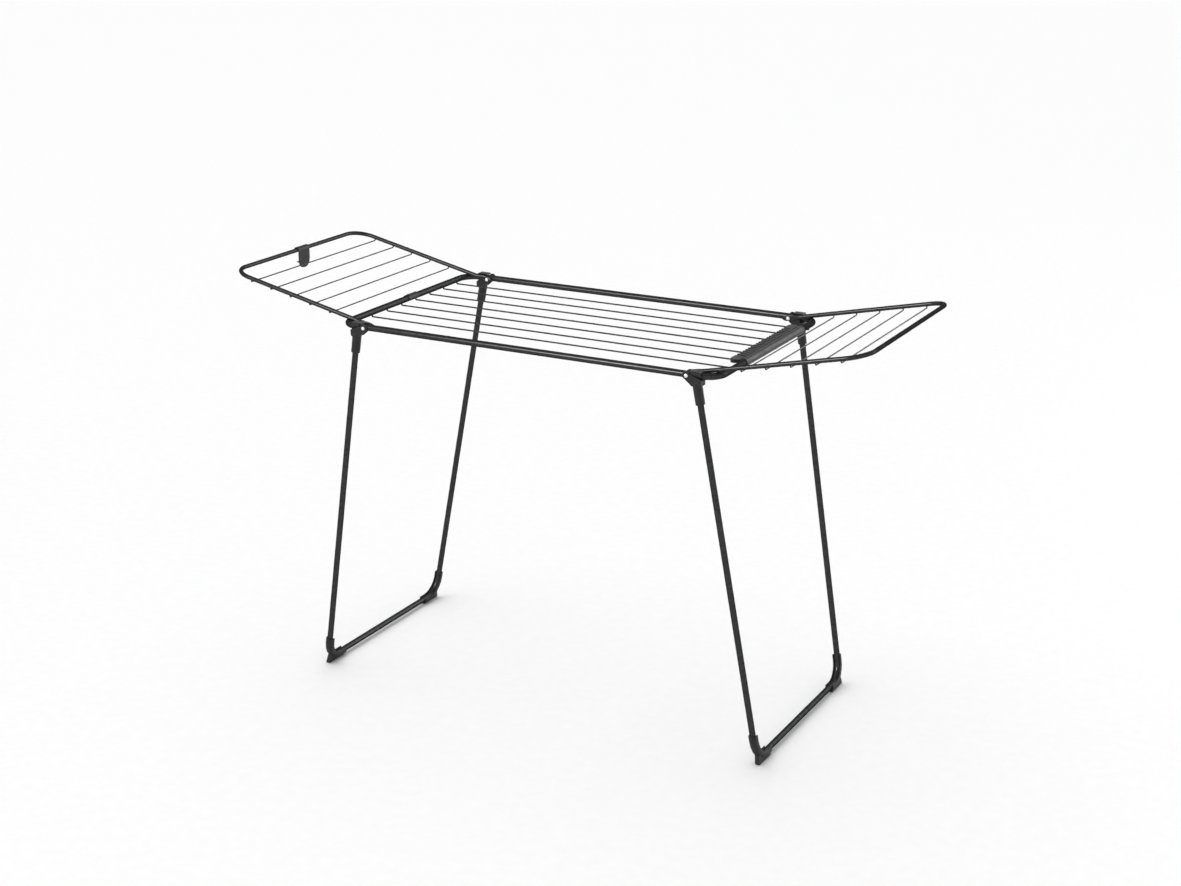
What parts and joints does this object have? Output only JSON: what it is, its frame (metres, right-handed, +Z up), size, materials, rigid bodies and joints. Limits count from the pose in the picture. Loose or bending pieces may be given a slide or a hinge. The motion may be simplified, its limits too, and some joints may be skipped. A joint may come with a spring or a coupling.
{
  "type": "folding clothes airer",
  "caption": "Free-standing folding clothes airer: a rectangular tube frame with drying wires, fold-up wings, a hanger comb and folding U-shaped legs.",
  "frame": {"origin": "on the floor, under the middle of the airer", "axes": "+Z up, X along the long side with the wings at both ends, -Y towards the front rail; left is -X"},
  "size_m": [1.6031, 0.5796, 0.9754],
  "materials": {
    "black_coated_steel": "satin black powder coat",
    "black_coated_wire": "satin black powder coat",
    "black_plastic": "matt moulded black plastic",
    "zinc_steel": "bright zinc-plated"
  },
  "bodies": {
    "centre": {"centre_frame": "black_coated_steel", "centre_wire_1": "black_coated_wire", "centre_wire_2": "black_coated_wire", "centre_wire_3": "black_coated_wire", "centre_wire_4": "black_coated_wire", "centre_wire_5": "black_coated_wire", "centre_wire_6": "black_coated_wire", "centre_wire_7": "black_coated_wire", "hanger_comb": "black_plastic", "transport_clip": "black_plastic", "front_left_rail_saddle": "black_plastic", "front_left_pivot_spacer": "black_plastic", "front_left_pivot_rivet": "zinc_steel", "rear_left_rail_saddle": "black_plastic", "rear_left_pivot_spacer": "black_plastic", "rear_left_pivot_rivet": "zinc_steel", "front_right_rail_saddle": "black_plastic", "front_right_pivot_spacer": "black_plastic", "front_right_pivot_rivet": "zinc_steel", "rear_right_rail_saddle": "black_plastic", "rear_right_pivot_spacer": "black_plastic", "rear_right_pivot_rivet": "zinc_steel"},
    "left_leg": {"left_leg_frame": "black_coated_steel", "front_left_leg_knuckle": "black_plastic", "front_left_corner_shoe": "black_plastic", "rear_left_leg_knuckle": "black_plastic", "rear_left_corner_shoe": "black_plastic"},
    "left_wing": {"left_wing_frame": "black_coated_steel", "left_wing_wire_1": "black_coated_wire", "left_wing_wire_2": "black_coated_wire", "left_wing_wire_3": "black_coated_wire", "left_wing_wire_4": "black_coated_wire", "left_wing_wire_5": "black_coated_wire"},
    "right_leg": {"right_leg_frame": "black_coated_steel", "front_right_leg_knuckle": "black_plastic", "front_right_corner_shoe": "black_plastic", "rear_right_leg_knuckle": "black_plastic", "rear_right_corner_shoe": "black_plastic"},
    "right_wing": {"right_wing_frame": "black_coated_steel", "right_wing_wire_1": "black_coated_wire", "right_wing_wire_2": "black_coated_wire", "right_wing_wire_3": "black_coated_wire", "right_wing_wire_4": "black_coated_wire", "right_wing_wire_5": "black_coated_wire"},
    "latch": {"wing_latch": "black_plastic"}
  },
  "joints": [
    {"name": "left_leg_fold", "type": "hinge", "parent": "centre", "child": "left_leg", "pos_m": [-0.408, 0, 0.8825], "axis": [0, -1, 0], "range_deg": [0, 98.5]},
    {"name": "right_leg_fold", "type": "hinge", "parent": "centre", "child": "right_leg", "pos_m": [0.408, 0, 0.8825], "axis": [0, 1, 0], "range_deg": [0, 94.5]},
    {"name": "left_wing_fold", "type": "hinge", "parent": "centre", "child": "left_wing", "pos_m": [-0.408, 0, 0.8825], "axis": [0, 1, 0], "range_deg": [0, 167]},
    {"name": "right_wing_fold", "type": "hinge", "parent": "centre", "child": "right_wing", "pos_m": [0.408, 0, 0.8825], "axis": [0, -1, 0], "range_deg": [0, 167]},
    {"name": "latch_swivel", "type": "hinge", "parent": "left_wing", "child": "latch", "pos_m": [-0.79525, 0, 0.96764], "axis": [0, 1, 0], "range_deg": [-45, 101.5]}
  ]
}
